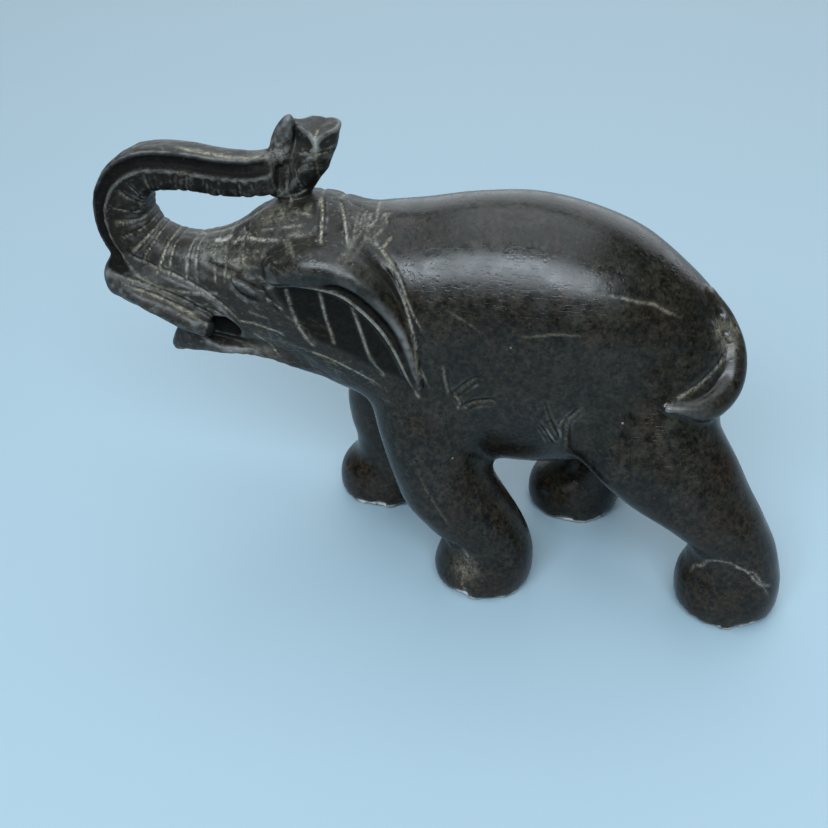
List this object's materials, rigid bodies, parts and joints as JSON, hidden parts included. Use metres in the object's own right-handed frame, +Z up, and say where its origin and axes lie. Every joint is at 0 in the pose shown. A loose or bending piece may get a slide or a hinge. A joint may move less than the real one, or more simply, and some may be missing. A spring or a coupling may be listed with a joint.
{
  "type": "elephant figurine",
  "caption": "Carved dark stone elephant standing on four feet, head turned slightly to its left, trunk raised and curled back so that its tip rests on the forehead.",
  "frame": {"origin": "middle of the bounding box on the plane of the soles", "axes": "-X is where the elephant faces, -Y is its left flank, +Z is up"},
  "size_m": [0.1715, 0.0621, 0.1175],
  "materials": {
    "polished_stone": "hand-polished mottled dark grey-green to brown-black stone with black specks and ochre patches",
    "dressed_stone": "same stone with tool marks, less polished, tan residue in the grooves"
  },
  "bodies": {
    "root": {"torso": "polished_stone", "head": "dressed_stone", "trunk": "dressed_stone", "trunk_tip": "dressed_stone", "lower_jaw": "dressed_stone", "left_tusk": "dressed_stone", "right_tusk": "dressed_stone", "left_ear": "polished_stone", "right_ear": "polished_stone", "left_front_leg": "polished_stone", "right_front_leg": "polished_stone", "left_hind_leg": "polished_stone", "right_hind_leg": "polished_stone", "tail": "polished_stone"}
  },
  "joints": []
}
